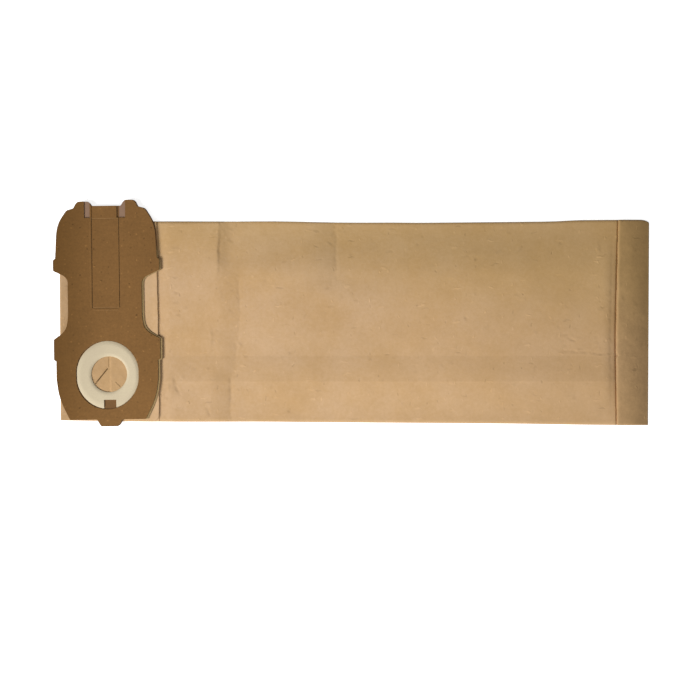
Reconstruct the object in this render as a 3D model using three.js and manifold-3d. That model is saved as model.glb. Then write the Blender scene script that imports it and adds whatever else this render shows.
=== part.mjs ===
// Paper dust bag for an upright vacuum cleaner, lying flat and empty as it comes out of its box.
// A long paper tube is folded shut at one end, and its folded end panel carries the collar: two
// die-cut cards glued face to face, a round sealing ring and the star-cut paper of the inlet.
// Millimetres, +X along the bag from the collar, +Y across it, +Z up from the table it lies on.

import * as THREE from "three";
import { mergeVertices } from "three/addons/utils/BufferGeometryUtils.js";
import Module from "manifold-3d";

// Bag, seen from above
const bagLength = 494.8;
const widthAtFold = 166.4; // side to side at the folded end
const widthPastPanel = 168; // just behind the end panel
const widthAtMiddle = 167.2;
const widthAtEnd = 172.3; // the glued end is spread a little wider
const sideDrift = 1.6; // how far the centre line wanders from one end to the other
const panelLength = 83.3; // end panel, folded over the top of the bag
const panelSkewDeg = 0.87; // the panel was folded a little out of square
const foldSkewDeg = 0.38;
const endSkewDeg = -0.3;
const bandLength = 27.6; // closing band, folded over and glued at the far end
const cornerRun = 7; // worn corner of the band, along the bag
const cornerDrop = 2.3; // and across it
const seamFromSide = 32; // long glued lap of the tube, from the bag's near side
const seamWidth = 21;

// Bag, heights above the table
const pressedThickness = 4; // under the collar, end panel included
const panelPly = 0.7;
const sideThickness = 2.6; // at the two long side folds
const crownThickness = 6.6; // where the empty bag bulges most
const creaseThickness = 2.3; // in the groove in front of the closing band
const bandThickness = 4.6; // at the top of the closing band
const endThickness = 1.3; // at the bag's last edge
const seamPly = 0.25;
const sideFoldDepth = 2.6; // how far in from the side the fold is rounded
const endFoldDepth = 2.2; // the same at the folded end
const crownRun = 46; // from the side fold to the flat of the bulge
const creaseRun = 13; // the bag dips to the groove over this length
const plyEdge = 0.35; // run of a ply's edge, seen from above

// Creases left in the top sheet: each dips over its run and springs back.
const creases = [
  { at: 133.4, run: 13.5, depth: 1.0, from: 33, to: 82 },
  { at: 149.5, run: 4, depth: 0.5, from: -30, to: 41 },
  { at: 127, run: 15, depth: 1.0, from: -78, to: -31 },
  { at: 231.5, run: 5, depth: 0.45, from: 32, to: 82 },
  { at: 94, run: 6, depth: 0.4, from: -62, to: -44 },
];

// Collar, measured from the middle of its inlet window, up along the collar
const inletFromFold = 40.4; // window centre from the folded end
const inletFromSide = 38.4; // and from the bag's near side
const collarSkewDeg = 0.73; // the collar is glued on with the panel's lean
const cardThickness = 1;
const layUpShift = 0.9; // the back card sits this far to the right of the front one
const collarTop = 141.5;
const collarFoot = 38;
const collarHalf = 42.7; // half the plain width
const waistHalfLeft = 32.4;
const waistHalfRight = 29.6;
const waistLow = 36.8; // where the waist turns out to the lower tabs
const waistSlopeDeg = 25.4; // the waist's upper shoulders
const tabReach = 1.9; // side tabs stand out this far
const lowerTabFrom = 12.4;
const lowerTabLength = 17.2;
const upperTabFrom = 87.2;
const upperTabLength = 9.8;
const shoulderHalf = 32.8; // top of the arched sides
const shoulderDrop = 2.3;
const archBend = 125.5; // height of the arched sides' bend
const archInset = 1.5;
const earOuter = 26.8; // the two ears beside the tongue
const earInner = 12;
const earRise = 4.9;
const leftSettle = 1.1; // the left ear and shoulder stand this much lower
const footHalf = 31.8; // bottom edge of the tapered foot
const taperFrom = 4; // the foot starts to taper this far below the inlet
const keyTabHalf = 10.6; // bottom tab, at its root
const keyTabTipHalf = 7.3;
const keyTabDrop = 5.8;
const keyShift = 1.5; // bottom tab and ring opening lie right of the window's axis

// Tongue and its slots, cut in the front card
const tongueLeft = 12.4;
const tongueRight = 10.2;
const tongueFoot = 55.9; // the crease it folds about
const gripCrease = 130.6; // the crease of its grip end
const gripShift = 0.8; // the grip end sits a little to the left
const kerf = 0.5;
const creaseWidth = 0.9;
const creaseDepth = 0.35;
const slotOuterLeft = 17.9;
const slotOuterRight = 16.6;
const slotFoot = 131.5;

// Window, sealing ring and inlet
const windowRadius = 26.3;
const windowUpper = 2; // centres of the window's two half circles, above the inlet's centre
const windowLower = 3.1; // and below it
const openingRadius = 15;
const ringThickness = 1.25; // a little proud of the front card
const ringInnerEdge = 0.95;
const ringOuterEdge = 0.45; // sunk below the card at the window's edge
const ringInnerRound = 0.12; // share of the ring's width that is rounded at the opening
const ringRollFrom = 0.62; // and where it starts to roll down to its outer edge
const notchWidth = 10.3;
const notchDepth = 8;
const notchShift = 2.1; // right of the window's axis
const ringSeat = 2; // the back card's hole is this much larger in radius than the opening
const fit = 0.3; // gap round pieces that sit in one another
const starCut = 0.5;
const starDepth = 0.6;
const starCuts = [
  { angleDeg: 230, offset: -4.2, from: -2.6, to: 14.2 }, // open cut to the lower left
  { angleDeg: -45, offset: -1.1, from: 8, to: 14 },
  { angleDeg: 90, offset: 0.7, from: 4.8, to: 14.2 },
];
const paperRise = 0.25; // the paper stands this far up in the back card's hole at its edge
const paperCrown = 0.35; // and bulges up this much more in the middle

const wasm = await Module();
wasm.setup();
const rad = THREE.MathUtils.degToRad;
const { smoothstep, lerp, clamp } = THREE.MathUtils;

// A closed geometry as a solid that can be joined and cut.
function solidOf(geometry) {
  const bare = geometry.clone();
  bare.deleteAttribute("normal");
  bare.deleteAttribute("uv");
  const merged = mergeVertices(bare, 1e-4);
  const index = merged.index.array;
  const faces = [];
  for (let i = 0; i < index.length; i += 3) {
    const [a, b, c] = [index[i], index[i + 1], index[i + 2]];
    if (a !== b && b !== c && c !== a) faces.push(a, b, c);
  }
  return new wasm.Manifold(
    new wasm.Mesh({
      numProp: 3,
      vertProperties: merged.attributes.position.array,
      triVerts: new Uint32Array(faces),
    }),
  );
}

function geometryOf(solid) {
  const mesh = solid.getMesh();
  return new THREE.BufferGeometry()
    .setAttribute("position", new THREE.BufferAttribute(mesh.vertProperties, 3))
    .setIndex(new THREE.BufferAttribute(mesh.triVerts, 1));
}

function cutAway(geometry, tools) {
  return geometryOf(tools.reduce((solid, tool) => solid.subtract(solidOf(tool)), solidOf(geometry)));
}

// A point on the line from one point towards another, at most halfway along it.
function towards(from, to, distance) {
  const share = Math.min(distance / from.distanceTo(to), 0.5);
  return from.clone().lerp(to, share);
}

// A shape through corners given as [x, y, rounding].
function roundedShape(corners) {
  const points = corners.map(([x, y]) => new THREE.Vector2(x, y));
  const shape = new THREE.Shape();
  corners.forEach(([x, y, rounding = 0], i) => {
    const here = points[i];
    const entry = towards(here, points.at(i - 1), rounding);
    const exit = towards(here, points[(i + 1) % points.length], rounding);
    if (i === 0) shape.moveTo(entry.x, entry.y);
    else shape.lineTo(entry.x, entry.y);
    if (rounding > 0) shape.quadraticCurveTo(x, y, exit.x, exit.y);
  });
  return shape;
}

function plate(shape, thickness, from = 0) {
  return new THREE.ExtrudeGeometry(shape, {
    depth: thickness,
    bevelEnabled: false,
    curveSegments: 8,
  }).translate(0, 0, from);
}

function block(x0, x1, y0, y1, z0, z1) {
  return new THREE.BoxGeometry(x1 - x0, y1 - y0, z1 - z0).translate(
    (x0 + x1) / 2,
    (y0 + y1) / 2,
    (z0 + z1) / 2,
  );
}

// Bag: a loft of closed sections, each running round the flattened tube.

const halfWidthCurve = new THREE.SplineCurve(
  [
    [0, widthAtFold],
    [panelLength + 17, widthPastPanel],
    [(panelLength + bagLength) / 2 - 39, widthAtMiddle],
    [bagLength - bandLength - 22, widthAtEnd - 0.5],
    [bagLength, widthAtEnd],
  ].map(([x, width]) => new THREE.Vector2(x, width / 2)),
);
const widthSamples = halfWidthCurve.getPoints(120);

function halfWidth(x) {
  const next = widthSamples.findIndex((p) => p.x >= x);
  if (next <= 0) return widthSamples[next < 0 ? widthSamples.length - 1 : 0].y;
  const [a, b] = [widthSamples[next - 1], widthSamples[next]];
  return lerp(a.y, b.y, (x - a.x) / (b.x - a.x));
}

const centreLine = (x) => sideDrift * (0.5 - smoothstep(x, 0, bagLength));
const nearSide = -widthAtFold / 2 + sideDrift / 2;
const bandStart = bagLength - bandLength;
const inletX = inletFromFold;
const inletY = nearSide + inletFromSide;
const collarReach = inletX + collarHalf + tabReach + layUpShift;
const bulgeStart = Math.max(panelLength, collarReach) + 4; // clear of the collar's edge
const bodyThickness = pressedThickness - panelPly;

// How far a section leans out of square, as x per y.
function shear(x) {
  const lean = [foldSkewDeg, panelSkewDeg, 0, 0, endSkewDeg].map((deg) => Math.tan(rad(deg)));
  const at = [0, panelLength, panelLength + 60, bandStart - 60, bagLength];
  const i = clamp(at.findIndex((stop) => stop > x) - 1, 0, at.length - 2);
  const from = x >= bagLength ? at.length - 2 : i;
  return -lerp(lean[from], lean[from + 1], clamp((x - at[from]) / (at[from + 1] - at[from]), 0, 1));
}

function creaseDip(x, y) {
  return creases.reduce((sum, { at, run, depth, from, to }) => {
    const along = (x - at) / run;
    const dip = along < 0 ? 0 : along < 1 ? along : Math.max(0, 1 - (along - 1) * 3);
    const across = smoothstep(y, from, from + 9) * (1 - smoothstep(y, to - 9, to));
    return sum + depth * dip * across;
  }, 0);
}

// Height of the bag's top sheet, away from the rounded side folds.
function topHeight(x, y) {
  if (x <= panelLength) return pressedThickness;
  const fromSide = halfWidth(x) - Math.abs(y - centreLine(x));
  const inward = smoothstep(fromSide, sideFoldDepth, crownRun);
  if (x < bandStart) {
    const rise = smoothstep(x, bulgeStart, bulgeStart + 110);
    const fall = 1 - smoothstep(x, bandStart - 150, bandStart);
    const bulge = (crownThickness - bodyThickness) * rise * fall;
    const side = lerp(bodyThickness, sideThickness, smoothstep(x, bulgeStart, bulgeStart + 40));
    const dive = smoothstep(x, bandStart - creaseRun, bandStart) * (side - creaseThickness);
    const seam = onSeam(y) && x > panelLength + plyEdge && x < bandStart - 2 ? seamPly : 0;
    return side + (bodyThickness - side + bulge) * inward - dive * 1 + seam - creaseDip(x, y);
  }
  const along = (x - bandStart) / bandLength;
  const ridge = smoothstep(x, bandStart, bandStart + plyEdge * 2);
  return lerp(creaseThickness, bandThickness, ridge) - (bandThickness - endThickness) * along ** 2;
}

const seamLow = nearSide + seamFromSide;
const onSeam = (y) => y > seamLow - 0.01 && y < seamLow + seamWidth + 0.01;

// Numbers from one stop to the next in equal steps no longer than the given one.
function filled(stops, step) {
  return stops.slice(1).reduce(
    (list, to) => {
      const from = list.at(-1);
      const steps = Math.max(1, Math.ceil((to - from) / step - 1e-6));
      for (let i = 1; i <= steps; i++) list.push(lerp(from, to, i / steps));
      return list;
    },
    [stops[0]],
  );
}

const evenly = (from, to, parts) =>
  Array.from({ length: parts + 1 }, (_, i) => lerp(from, to, i / parts));

// Points across the top sheet, from the near side to the far side, with both edges of the seam.
function acrossTop(near, far) {
  const edge = seamPly > 0 ? plyEdge : 0.1;
  const bands = [
    [near, seamLow - edge, 5],
    [seamLow, seamLow + seamWidth, 3],
    [seamLow + seamWidth + edge, far, 15],
  ];
  return bands.flatMap(([from, to, parts]) => evenly(from, to, parts));
}

// One closed section of the bag: along the table, round the far fold, back over the top.
function section(x, squeeze) {
  const half = halfWidth(x);
  const middle = centreLine(x);
  const cornerShare = clamp((x - (bagLength - cornerRun)) / cornerRun, 0, 1);
  const worn = cornerDrop * (1 - Math.sqrt(1 - cornerShare ** 2));
  const near = middle - half;
  const far = middle + half - worn;
  const inner = [near + sideFoldDepth, far - sideFoldDepth];
  const floorPoints = evenly(...inner, 7).map((y) => [y, 0]);
  const topPoints = acrossTop(...inner).map((y) => [y, topHeight(x, y)]);
  const roundFold = (side, y, height) =>
    [-54, -18, 18, 54].map((deg) => [
      y + side * sideFoldDepth * (Math.cos(rad(deg)) - 1),
      (height / 2) * (1 + Math.sin(rad(deg))),
    ]);
  const farFold = roundFold(1, far, topPoints.at(-1)[1]);
  const nearFold = roundFold(-1, near, topPoints[0][1]).reverse();
  return [...floorPoints, ...farFold, ...topPoints.reverse(), ...nearFold].map(([y, z]) => {
    const height = topHeight(x, y);
    const level = height / 2 + (z - height / 2) * squeeze;
    return new THREE.Vector3(x + shear(x) * y, y, level);
  });
}

// Joins closed sections of equal point count and caps both ends with a fan.
function loft(sections) {
  const count = sections[0].length;
  const points = sections.flat();
  const faces = [];
  for (let s = 0; s + 1 < sections.length; s++)
    for (let i = 0; i < count; i++) {
      const j = (i + 1) % count;
      const [a, b, c, d] = [s * count + i, s * count + j, (s + 1) * count + j, (s + 1) * count + i];
      faces.push(a, b, c, a, c, d);
    }
  for (const [first, turn] of [[0, -1], [(sections.length - 1) * count, 1]]) {
    const centre = new THREE.Vector3();
    for (let i = 0; i < count; i++) centre.addScaledVector(points[first + i], 1 / count);
    points.push(centre);
    for (let i = 0; i < count; i++) {
      const ends = [first + i, first + ((i + 1) % count)];
      if (turn < 0) ends.reverse();
      faces.push(points.length - 1, ...ends);
    }
  }
  return new THREE.BufferGeometry().setFromPoints(points).setIndex(faces);
}

function bagGeometry() {
  const foldEnd = [0, 0.15, 0.5, 1].map((share) => share * endFoldDepth);
  const creaseStops = creases.flatMap(({ at, run }) => [at, at + run, at + run * 1.34]);
  const bodyStops = [panelLength + plyEdge, bulgeStart, ...creaseStops.sort((a, b) => a - b)];
  const bandStops = [bandStart - creaseRun, bandStart - 2, bandStart, bandStart + plyEdge * 2];
  const endStops = [bagLength - cornerRun, bagLength - cornerRun / 3, bagLength - 1, bagLength];
  const stops = [...foldEnd, panelLength, ...bodyStops, ...bandStops, ...endStops];
  const spaced = stops.filter((x, i) => i === 0 || x - stops[i - 1] > 0.1);
  const sections = filled(spaced, 11).map((x) => {
    const rounding = x < endFoldDepth ? Math.sqrt(1 - (1 - x / endFoldDepth) ** 2) : 1;
    return section(x, Math.max(rounding, 0.2));
  });
  return loft(sections);
}

// The panel's paper, bulging a little way up in the back card's hole, where the star is cut.
function inletPaper() {
  const radius = openingRadius + ringSeat - fit;
  const rim = pressedThickness + paperRise;
  const profile = [new THREE.Vector2(0, pressedThickness / 2), new THREE.Vector2(radius, pressedThickness / 2)];
  for (let i = 0; i <= 5; i++) {
    const r = radius * (1 - i / 5);
    profile.push(new THREE.Vector2(r, rim + paperCrown * (1 - (r / radius) ** 2)));
  }
  return new THREE.LatheGeometry(profile, 64).rotateX(Math.PI / 2);
}

function starCutTools() {
  const top = pressedThickness + paperRise + paperCrown;
  return starCuts.map(({ angleDeg, offset, from, to }) =>
    block(from, to, offset - starCut / 2, offset + starCut / 2, top - starDepth, top + 1).rotateZ(
      rad(angleDeg),
    ),
  );
}

// Collar cards

const tabHalf = collarHalf + tabReach;

// One side of the collar from its foot up to the ear, as [half-width, height, rounding].
function collarSide(waistHalf, settle) {
  const top = collarTop - settle;
  const foot = -collarFoot;
  const lowerTabTop = lowerTabFrom + lowerTabLength;
  const upperTabTop = upperTabFrom + upperTabLength;
  const waistTop = upperTabFrom - (tabHalf - waistHalf) * Math.tan(rad(waistSlopeDeg));
  return [
    [footHalf, foot, 1.2],
    [collarHalf - 2.2, foot + (collarFoot - taperFrom) * 0.53, 18],
    [collarHalf, -taperFrom, 1],
    [collarHalf, lowerTabFrom - 1, 0.4],
    [tabHalf, lowerTabFrom, 0.6],
    [tabHalf, lowerTabTop, 1],
    [waistHalf + 1.9, waistLow, 8.5],
    [waistHalf, waistLow + 11, 4],
    [waistHalf, waistTop, 5],
    [tabHalf, upperTabFrom, 1],
    [tabHalf, upperTabTop - 0.8, 0.8],
    [collarHalf, upperTabTop + 0.6, 0.6],
    [collarHalf - archInset, archBend, 9],
    [shoulderHalf, top - shoulderDrop, 2],
    [earOuter, top - shoulderDrop / 2.6, 1.2],
    [earOuter - 2.6, top + earRise, 3],
    [earInner + 2.6, top + earRise, 2.4],
    [earInner, collarTop, 1],
  ];
}

function collarOutline() {
  const mirrored = ([half, height, rounding]) => [-half, height, rounding];
  const bottomTab = [
    [keyShift - keyTabHalf, -collarFoot, 0.8],
    [keyShift - keyTabTipHalf, -collarFoot - keyTabDrop, 1.2],
    [keyShift + keyTabTipHalf, -collarFoot - keyTabDrop, 2.6],
    [keyShift + keyTabHalf, -collarFoot, 0.8],
  ];
  const rightSide = collarSide(waistHalfRight, 0);
  const leftSide = collarSide(waistHalfLeft, leftSettle).map(mirrored).reverse();
  return roundedShape([...bottomTab, ...rightSide, ...leftSide]);
}

// The window: two half circles a short way apart, grown or shrunk by a margin.
function windowShape(margin = 0) {
  const radius = windowRadius + margin;
  const shape = new THREE.Shape();
  shape.absarc(0, windowUpper, radius, 0, Math.PI, false);
  shape.absarc(0, -windowLower, radius, Math.PI, 2 * Math.PI, false);
  return shape;
}

const through = [-1, cardThickness + 1];
const tongueTop = collarTop + earRise + 1;

function frontCard() {
  const roundWindow = new THREE.ExtrudeGeometry(windowShape(), {
    depth: cardThickness + 2,
    bevelEnabled: false,
    curveSegments: 32,
  }).translate(0, 0, -1);
  const gripLeft = -tongueLeft - gripShift;
  const gripRight = tongueRight - gripShift;
  const groove = (height) =>
    new THREE.CylinderGeometry(creaseDepth, creaseDepth, tongueLeft + tongueRight, 4)
      .rotateZ(Math.PI / 2)
      .scale(1, creaseWidth / 2 / creaseDepth, 1)
      .translate((tongueRight - tongueLeft) / 2, height, cardThickness);
  return cutAway(plate(collarOutline(), cardThickness), [
    roundWindow,
    block(-tongueLeft - kerf, -tongueLeft, tongueFoot, slotFoot + kerf, ...through),
    block(tongueRight, tongueRight + kerf, tongueFoot, slotFoot + kerf, ...through),
    block(-slotOuterLeft, gripLeft, slotFoot, tongueTop, ...through),
    block(gripRight, slotOuterRight, slotFoot, tongueTop, ...through),
    groove(tongueFoot),
    groove(gripCrease),
  ]);
}

function backCard() {
  const hole = new THREE.CylinderGeometry(openingRadius + ringSeat, openingRadius + ringSeat, cardThickness + 2, 64)
    .rotateX(Math.PI / 2)
    .translate(keyShift, 0, cardThickness / 2);
  const outline = plate(collarOutline(), cardThickness).translate(layUpShift, 0, 0);
  return cutAway(outline, [hole]);
}

// Height of the ring across its width, from 0 at the opening to 1 at the window's edge.
function ringHeight(share) {
  const inner = Math.max(0, 1 - share / ringInnerRound) ** 2;
  const outer = Math.max(0, (share - ringRollFrom) / (1 - ringRollFrom)) ** 2;
  const innerDrop = (ringThickness - ringInnerEdge) * inner;
  return ringThickness - innerDrop - (ringThickness - ringOuterEdge) * outer;
}

// The ring: that section carried round from the round opening to the window's outline.
function sealRing() {
  const around = 72;
  const outline = windowShape(-fit).getPoints(32);
  const middle = new THREE.Vector2(keyShift, 0);
  const reach = (angle) => {
    const ray = new THREE.Vector2(Math.cos(angle), Math.sin(angle));
    for (let i = 0; i < outline.length; i++) {
      const [a, b] = [outline[i], outline[(i + 1) % outline.length]];
      const edge = b.clone().sub(a);
      const toA = a.clone().sub(middle);
      const turn = ray.cross(edge);
      if (Math.abs(turn) < 1e-9) continue;
      const distance = toA.cross(edge) / turn;
      const share = toA.cross(ray) / turn;
      if (distance > 0 && share >= 0 && share <= 1) return distance;
    }
    return windowRadius;
  };
  const shares = [0, ringInnerRound / 2, ringInnerRound, ringRollFrom, 0.75, 0.85, 0.94, 1];
  const sections = Array.from({ length: around }, (_, i) => {
    const angle = (i / around) * 2 * Math.PI;
    const outer = reach(angle);
    const at = (share, z) => {
      const r = lerp(openingRadius, outer, share);
      return new THREE.Vector3(keyShift + r * Math.cos(angle), r * Math.sin(angle), z);
    };
    const top = shares.map((share) => at(share, ringHeight(share)));
    return [at(1, 0), at(0, 0), ...top];
  });
  const ringFoot = -windowRadius - windowLower;
  const notch = block(
    notchShift - notchWidth / 2,
    notchShift + notchWidth / 2,
    ringFoot - 1,
    ringFoot + notchDepth,
    -1,
    ringThickness + 1,
  );
  return cutAway(closedLoop(sections), [notch]);
}

// Joins closed sections that follow one another round a loop.
function closedLoop(sections) {
  const count = sections[0].length;
  const faces = [];
  sections.forEach((_, s) => {
    const next = (s + 1) % sections.length;
    for (let i = 0; i < count; i++) {
      const j = (i + 1) % count;
      const [a, b, c, d] = [s * count + i, s * count + j, next * count + j, next * count + i];
      faces.push(a, b, c, a, c, d);
    }
  });
  return new THREE.BufferGeometry().setFromPoints(sections.flat()).setIndex(faces);
}

// Assembly

function named(name, geometry, material) {
  const mesh = new THREE.Mesh(geometry, material);
  mesh.name = name;
  return mesh;
}

const paper = new THREE.MeshStandardMaterial({ color: "#b9976a", roughness: 0.85, metalness: 0 });
const brownCard = new THREE.MeshStandardMaterial({ color: "#7d5b35", roughness: 0.8, metalness: 0 });
const greyCard = new THREE.MeshStandardMaterial({ color: "#866a54", roughness: 0.85, metalness: 0 });
const whiteSeal = new THREE.MeshStandardMaterial({ color: "#d4c4a4", roughness: 0.6, metalness: 0 });

const turned = (geometry) =>
  geometry.rotateZ(rad(collarSkewDeg)).translate(inletX, inletY, 0);
const inletCentre = (geometry) => turned(geometry.translate(keyShift, 0, 0));
const bagSolid = starCutTools().reduce(
  (solid, tool) => solid.subtract(solidOf(inletCentre(tool))),
  solidOf(bagGeometry()).add(solidOf(inletCentre(inletPaper()))),
);

const collar = new THREE.Group();
collar.position.set(inletX, inletY, pressedThickness);
collar.rotation.z = rad(collarSkewDeg);

const back = named("back_card", backCard(), greyCard);
const front = named("front_card", frontCard(), brownCard);
const ring = named("seal_ring", sealRing(), whiteSeal);
front.position.z = cardThickness;
ring.position.z = cardThickness;
collar.add(back, front, ring);

const part = new THREE.Group();
part.add(named("filter_bag", geometryOf(bagSolid), paper), collar);

// The origin lies on the table under the middle of the part.
part.updateMatrixWorld(true);
const middle = new THREE.Box3().setFromObject(part, true).getCenter(new THREE.Vector3());
part.position.set(-middle.x, -middle.y, 0);

export default part;
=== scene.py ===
"""Paper dust bag for an upright vacuum cleaner, lying flat with its collar up.

The bag is four pieces of folded paper over one hidden solid, the collar is two die-cut boards
and the seal is a soft ring. Sizes are in millimetres in the bag's own directions, x from the
folded end and y across, and become metres in the shared frame when a mesh is made.
"""

import math
from collections import namedtuple
from itertools import product

import bmesh
import bpy
import numpy as np
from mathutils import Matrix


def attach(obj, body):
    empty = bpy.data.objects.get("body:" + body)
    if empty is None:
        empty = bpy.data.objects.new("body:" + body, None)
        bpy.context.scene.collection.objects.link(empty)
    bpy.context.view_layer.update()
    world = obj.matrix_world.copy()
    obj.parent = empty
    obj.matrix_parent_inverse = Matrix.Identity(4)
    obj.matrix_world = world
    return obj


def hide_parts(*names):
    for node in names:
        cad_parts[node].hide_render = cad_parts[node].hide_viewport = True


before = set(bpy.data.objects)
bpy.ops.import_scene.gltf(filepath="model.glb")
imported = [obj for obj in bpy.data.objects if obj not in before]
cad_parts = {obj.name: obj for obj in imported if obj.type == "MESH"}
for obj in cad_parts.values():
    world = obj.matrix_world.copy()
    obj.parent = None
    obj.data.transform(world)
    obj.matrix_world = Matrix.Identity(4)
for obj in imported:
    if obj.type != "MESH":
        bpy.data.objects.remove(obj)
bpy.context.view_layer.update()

# Outline of the bag
BAG_LENGTH = 494.8
WIDTHS = ((0, 166.4), (100.3, 168), (250.05, 167.2), (445.2, 171.8), (494.8, 172.3))
SIDE_DRIFT = 1.6  # both sides drift this far across on the way to the closed end
PANEL_LENGTH = 82.4  # the end panel, folded back over the top
BAND_LENGTH = 26.8  # the closing band, folded over and glued
BAND_START = BAG_LENGTH - BAND_LENGTH
BAND_END = BAG_LENGTH + 0.9  # the paper turns round the solid's end
LEAN_AT = (0, PANEL_LENGTH, PANEL_LENGTH + 60, BAND_START - 60, BAG_LENGTH)
LEAN_DEG = (0.38, 0.87, 0, 0, -0.3)  # how far the bag's cross lines lean there
CORNER_RUN, CORNER_DROP = 7, 2.3  # the worn far corner of the closed end
NEAR_SIDE, PANEL_WIDTH = -82.4, 166.4
BAND_WIDTH = 172
BAG_ORIGIN = (-244.911, -7.407)  # the bag's zero point in the shared frame

# Heights of the top sheet
PRESSED, PLY = 4.0, 0.7  # under the collar, and the thickness of the ply there
BODY = PRESSED - PLY
SIDE, CROWN = 2.6, 6.6  # along both sides, and highest in the middle
HELD, TUCK = 1.3, 0.6  # how far the band holds the middle up, and the panel's edge presses it down
GROOVE, LOWEST = 2.3, 1.3  # in front of the closing band, and the lowest that a crease may reach
BAND, END = 4.6, 1.3  # the closing band at its free edge and at the bag's end
UNDER_END = 0.95  # the tube's end inside the band

# Folds
SIDE_FOLD = 2.6  # how far in from a side its fold is round
CROWN_RUN = 46  # how far in from a side the sheet goes on rising
BULGE_START = 89.94  # where it starts to rise past the panel
CREASE_RUN = 12  # its dip to the groove
SEAM_LOW, SEAM_WIDTH = NEAR_SIDE + 32, 21  # the tube's glued lap
SEAM_PLY, PLY_EDGE = 0.04, 0.35
FLOOR_POINTS, FOLD_POINTS, FLAP_POINTS = 18, 9, 118
FLAP_EDGE = (0.0, 0.08, 0.25, 0.6, 1.2, 2.2)  # the closer places at both sides of a flap

# Facets pressed into the top sheet: each falls by its depth over its run, after a sharp step, lies
# from low to high across the bag and may get longer with its flare
Facet = namedtuple("Facet", "at run flare depth step low high soft_start soft_end")
FACETS = (
    Facet(133.6, 14, 0.45, 1.4, 0.5, 34, 112, 0.0, 1.0),
    Facet(135.0, 14.2, 0.15, 0.75, 0.12, -52, 50, 0.6, 0.0),
    Facet(128.0, 16, 0.0, 1.2, 0.15, -104, -30, 0.5, 0.0),
    Facet(94, 6, 0.0, 0.5, 0.2, -68, -40, 0.0, 0.5),
    Facet(206, 26, 0.1, 0.9, 0.0, 20, 112, 1.0, 0.0),
)
SPRING_RUNS = 6  # the sheet has sprung back this many runs past a facet

# Sharp creases: the path over the sheet, how deep and how wide; a negative depth is a ridge
CREASES = (
    (((133.8, 79), (134.3, 56), (133.2, 34.4)), 0.35, 1.0),
    (((149.3, 41.2), (151.6, 8), (150.0, -10), (147.2, -30)), 0.22, 0.9),
    (((143.2, -45.4), (143.8, -60), (143.0, -72.2)), 0.42, 1.0),
    (((122.4, -71.4), (127.4, -81)), 0.5, 1.1),
    (((94.7, -45.4), (97, -54), (100.5, -63)), 0.45, 1.0),
    (((126.4, -2), (128.0, -12), (127.0, -24)), -0.3, 1.1),
    (((232.4, 80.6), (232.0, 55), (232.6, 31.9)), 0.2, 1.0),
    (((227.4, 81.5), (236.6, 74.8)), -0.3, 1.0),
    (((134.1, 81.5), (145.9, 76.4)), -0.3, 1.0),
    (((191.3, -73.9), (193, -75.9), (194.6, -73)), 0.5, 0.9),
    (((349.8, 54.8), (350.2, 51.6)), 0.5, 0.9),
    (((341, 5), (342.6, 0.5)), 0.4, 0.9),
    (((420.6, 68), (422, 64)), 0.35, 0.9),
    (((425.6, -12.6), (434, -16.8)), 0.35, 0.9),
    (((417.2, -24.4), (440, -25.4), (460, -27.7)), 0.32, 0.9),
    (((451.7, 67.2), (454.2, 57.1)), -0.3, 0.9),
    (((446, -27.4), (456, -28.2), (466, -27.2)), -0.34, 0.9),
    (((465.2, 80), (464.3, 40), (463.4, 0), (463.4, -30), (464.2, -78)), 0.3, 1.1),
    (((470, 22), (474.6, 17)), -0.35, 1.0),
    (((479, 19.3), (483, 15), (487, 12.6)), -0.3, 1.1),
    (((474, -14), (480, -19), (484, -20)), 0.35, 1.1),
)

# Short wrinkles: how many, between which two corners, and how far they turn from the bag's length
WRINKLES = (
    (64, (92, -80), (462, 80), 38), (13, (414, -30), (462, -8), 12), (26, (471, -80), (491, 78), 60),
    (9, (80, -80), (104, -55), 60), (8, (128, 62), (150, 82), 40), (7, (222, 62), (240, 82), 40),
)

# End panel: the fold's reach, half height and inner half sizes, and the short leg underneath
FOLD_REACH, FOLD_HALF, FOLD_INNER = 2.2, 2, (1.5, 1.3)
PANEL_LEG = 13.5

# Closing band: section of its free edge, as how far in and how high, and the leg underneath
BAND_LIP = ((0.9, 2.2), (0.75, 2.6), (0.55, 3.0), (0.2, 3.3), (0.0, 3.6), (-0.04, 3.82),
            (0.15, 4.08), (0.55, 4.32), (1.1, 4.48))
BAND_LEG = 14
BAND_MIDDLE = -16.0  # the line across the bag whose heights the band follows

# Collar, in its own directions from the middle of its window
WINDOW_AT = (40.4, -44.0)  # in the bag's directions
COLLAR_TURN = math.radians(0.73)
CARD = 1.0
CARD_TOP = PRESSED + 2 * CARD
TONGUE_LEFT, TONGUE_RIGHT = -11.35, 10.8
TONGUE_FOOT_BEAD = 54.4
GRIP_FOOT, COLLAR_TOP = 132.3, 150
WINDOW_RADIUS, WINDOW_UPPER, WINDOW_LOWER = 26.3, 2, 3.1
FIT_LEFT, FIT_RIGHT = 0.75, 0.05  # the ring was laid in a little to the right
OPENING_RADIUS, OPENING_SHIFT = 15, 1.5
NOTCH_WIDTH, NOTCH_DEPTH, NOTCH_SHIFT = 10.3, 8, 2.1

# Ring: its heights, and where over its section it is round inside and rolls off outside
RING_THICKNESS, RING_INNER_EDGE, RING_OUTER_EDGE = 1.25, 0.36, 0.3
RING_INNER_ROUND, RING_ROLL_FROM = 0.2, 0.68

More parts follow.
